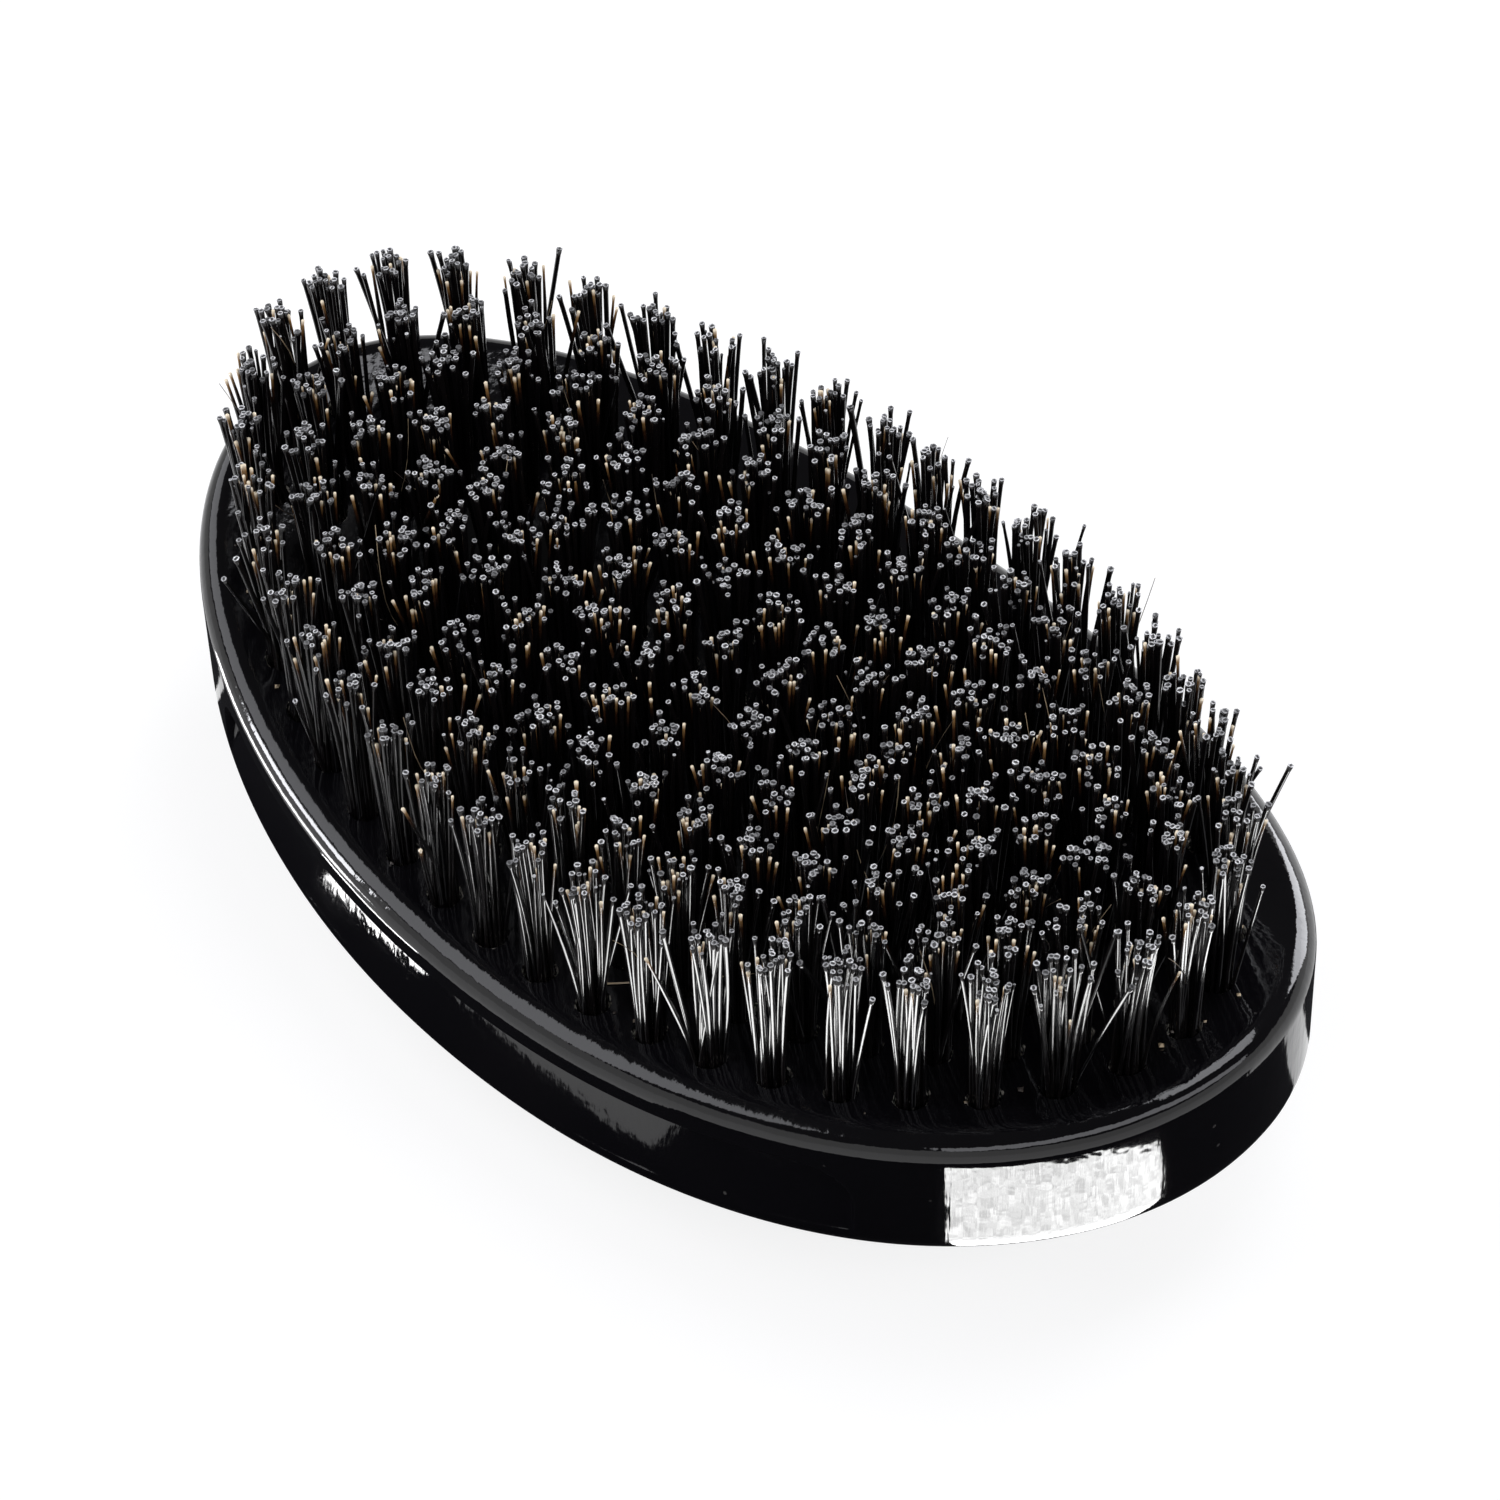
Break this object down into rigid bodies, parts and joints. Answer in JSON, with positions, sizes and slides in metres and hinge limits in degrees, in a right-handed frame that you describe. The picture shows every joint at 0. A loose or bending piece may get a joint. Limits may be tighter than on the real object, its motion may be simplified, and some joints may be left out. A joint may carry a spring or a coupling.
{
  "type": "beard brush",
  "caption": "Oval palm beard brush: black lacquered wooden block, bowed end to end, with a finger cove along each side and boar bristle tufts in oval rings.",
  "frame": {"origin": "lowest point of the rounded back, under the middle of the block", "axes": "+X along the block, +Y across it towards one finger cove, +Z the way the bristles point"},
  "size_m": [0.115, 0.0662, 0.0406],
  "materials": {
    "lacquered_wood": "hardwood under glossy black lacquer",
    "boar_bristle": "dark boar bristle, cut ends pale grey",
    "anchor_wire": "bright flat wire"
  },
  "bodies": {
    "root": {"block": "lacquered_wood", "tuft_ring_1": "boar_bristle", "tuft_ring_2": "boar_bristle", "tuft_ring_3": "boar_bristle", "tuft_ring_4": "boar_bristle", "tuft_ring_5": "boar_bristle", "tuft_middle_row": "boar_bristle", "anchor_ring_1": "anchor_wire", "anchor_ring_2": "anchor_wire", "anchor_ring_3": "anchor_wire", "anchor_ring_4": "anchor_wire", "anchor_ring_5": "anchor_wire", "anchor_middle_row": "anchor_wire"}
  },
  "joints": []
}
